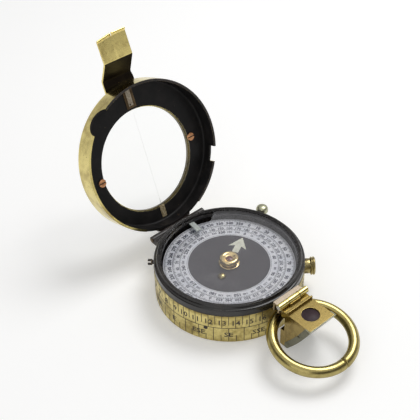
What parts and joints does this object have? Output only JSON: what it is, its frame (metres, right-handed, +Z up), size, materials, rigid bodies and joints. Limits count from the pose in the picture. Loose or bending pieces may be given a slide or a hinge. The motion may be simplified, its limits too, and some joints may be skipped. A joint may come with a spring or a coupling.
{
  "type": "prismatic marching compass",
  "caption": "Pocket brass compass with a floating dial under a turning bezel, a hinged sighting lid with a window, a folding prism eyepiece and a carrying ring.",
  "frame": {"origin": "centre of the drum's flat underside, on the surface the compass lies on", "axes": "+Z up through the pivot, +Y from the pivot to the lid's hinge, -Y to the prism and the carrying ring, +X to the right"},
  "size_m": [0.0595, 0.1251, 0.0825],
  "materials": {
    "brass": "polished, lightly tarnished",
    "black_lacquer": "semi-gloss black lacquer on brass, worn on its edges",
    "copper": "polished, reddish",
    "steel": "bright",
    "clear_glass": "clear and polished",
    "pearl": "pearly",
    "dark_card": "satin dark grey",
    "luminous": "aged luminous paint",
    "jewel": "polished dark red"
  },
  "bodies": {
    "root": {"drum_case": "brass", "pivot_post": "brass", "post_screws": "steel", "pivot_point": "steel", "bezel_snap_ring": "steel", "brake_bush": "brass", "brake_pivot_post": "brass", "lifter_block": "brass", "lifter_pin": "steel", "drum_hinge_leaf": "brass", "drum_leaf_rivets": "brass", "lid_hinge_pin": "steel", "prism_bracket": "brass", "bracket_screws": "steel", "prism_hinge_pin": "steel"},
    "bezel": {"bezel_ring": "black_lacquer", "bezel_glass": "clear_glass", "glass_retainer": "black_lacquer", "index_strip": "luminous"},
    "card": {"dial_ring": "pearl", "dial_disc": "dark_card", "north_arrow": "luminous", "card_cap": "brass", "jewel": "jewel", "magnet_needle": "steel", "balance_weight": "brass"},
    "lifter": {"lifter_lever": "brass", "lifter_stud": "brass", "lifter_spring": "steel"},
    "brake_knob": {"brake_button": "brass"},
    "brake": {"brake_arm": "brass"},
    "clamp": {"clamp_screw": "brass"},
    "lid": {"lid_shell": "brass", "lid_glass": "clear_glass", "lid_screws": "copper", "upper_strip_frame": "brass", "upper_strip": "luminous", "lower_strip": "luminous", "lid_hairline": "steel", "lid_tongue": "brass", "tongue_rivets": "brass", "lid_hinge_leaf": "brass", "lid_leaf_rivets": "brass"},
    "prism_plate": {"prism_leaf": "brass"},
    "prism": {"prism_box": "brass", "slide_screw": "steel", "prism_glass": "clear_glass", "prism_cover": "brass"},
    "ring": {"lanyard_ring": "brass"}
  },
  "joints": [
    {"name": "lid_hinge", "type": "hinge", "parent": "root", "child": "lid", "pos_m": [0, 0.0299, 0.01234], "axis": [-1, 0, 0], "range_deg": [-110.2, 0]},
    {"name": "lifter_pivot", "type": "hinge", "parent": "root", "child": "lifter", "pos_m": [0.01294, 0.00534, 0.009], "axis": [0.3811, -0.9245, 0], "range_deg": [-2.81, 0]},
    {"name": "prism_hinge", "type": "hinge", "parent": "root", "child": "prism_plate", "pos_m": [0, -0.03305, 0.0187], "axis": [-1, 0, 0], "range_deg": [0, 180]},
    {"name": "prism_focus", "type": "slide", "parent": "prism_plate", "child": "prism", "axis": [0, 0, -1], "range_m": [0, 0.003]},
    {"name": "bezel_turn", "type": "hinge", "parent": "root", "child": "bezel", "pos_m": [0, 0, 0.014], "axis": [0, 0, 1], "continuous": true},
    {"name": "card_spin", "type": "hinge", "parent": "root", "child": "card", "pos_m": [0, 0, 0.01485], "axis": [0, 0, 1], "continuous": true},
    {"name": "brake_press", "type": "slide", "parent": "root", "child": "brake_knob", "axis": [-0.766, 0.6428, 0], "range_m": [0, 0.0006], "stiffness_N_per_m": 300, "springref_m": -0.0004},
    {"name": "brake_arm_pivot", "type": "hinge", "parent": "root", "child": "brake", "pos_m": [0.0045, -0.02551, 0.0099], "axis": [0, 0, 1], "range_deg": [0, 2.07]},
    {"name": "clamp_turn", "type": "hinge", "parent": "root", "child": "clamp", "pos_m": [-0.02079, 0.02079, 0.0122], "axis": [-0.7071, 0.7071, 0], "range_deg": [-90, 90]},
    {"name": "ring_swing", "type": "hinge", "parent": "root", "child": "ring", "pos_m": [0, -0.03075, 0.0114], "axis": [-0.9945, 0.1045, 0], "range_deg": [-80, 60]}
  ],
  "couplings": [
    {"joint": "lifter_pivot", "follows": "lid_hinge", "ratio": 0.025408},
    {"joint": "brake_arm_pivot", "follows": "brake_press", "rad_per_m": 59.923}
  ]
}
